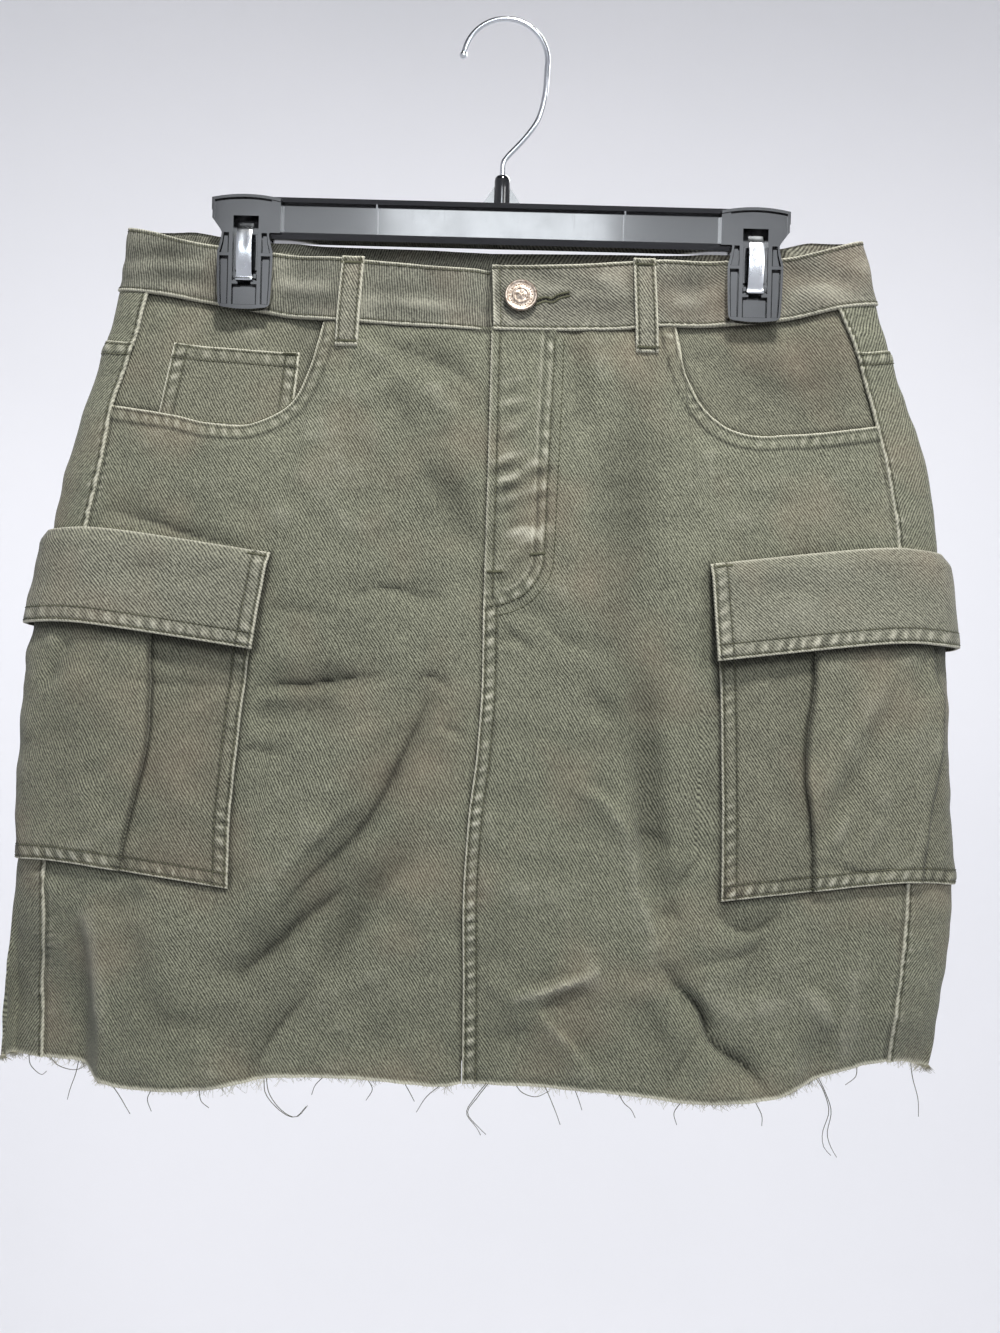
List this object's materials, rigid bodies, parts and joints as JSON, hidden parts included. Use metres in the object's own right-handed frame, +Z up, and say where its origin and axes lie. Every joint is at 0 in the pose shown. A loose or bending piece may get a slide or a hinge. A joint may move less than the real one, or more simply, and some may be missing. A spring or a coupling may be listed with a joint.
{
  "type": "cargo skirt on a clip hanger",
  "caption": "Short olive twill cargo skirt with flapped side pockets and a raw hem, hung by its waistband from a black clip hanger with a wire hook.",
  "frame": {"origin": "inside top of the wire hook, where the hanger is held", "axes": "+Z up, front of the skirt faces -Y, +X to the viewer's right; the hanger bar runs along X"},
  "size_m": [0.5302, 0.0703, 0.631],
  "materials": {
    "twill": "faded olive cotton twill, washed pale along its edges",
    "thread": "loose matte cotton yarn",
    "button_metal": "worn antique metal with a pinkish cast",
    "black_plastic": "glossy moulded black plastic",
    "spring_steel": "bright zinc-plated spring strip",
    "hook_chrome": "bright plated wire"
  },
  "bodies": {
    "root": {"front_panel_left": "twill", "front_panel_right": "twill", "back_panel_left": "twill", "back_panel_right": "twill", "back_yoke_left": "twill", "back_yoke_right": "twill", "waistband_left": "twill", "waistband_right": "twill", "pocket_facing_left": "twill", "pocket_facing_right": "twill", "coin_pocket": "twill", "belt_loop_front_left": "twill", "belt_loop_front_right": "twill", "belt_loop_back_left": "twill", "belt_loop_back_centre": "twill", "belt_loop_back_right": "twill", "cargo_pocket_left": "twill", "cargo_pocket_right": "twill", "cargo_flap_left": "twill", "cargo_flap_right": "twill", "hem_fringe": "thread", "button": "button_metal", "hanger_bar": "black_plastic", "clip_front_jaw_left": "black_plastic", "clip_front_jaw_right": "black_plastic", "clip_back_jaw_left": "black_plastic", "clip_back_jaw_right": "black_plastic", "clip_spring_left": "spring_steel", "clip_spring_right": "spring_steel", "hook_wire": "hook_chrome"}
  },
  "joints": []
}
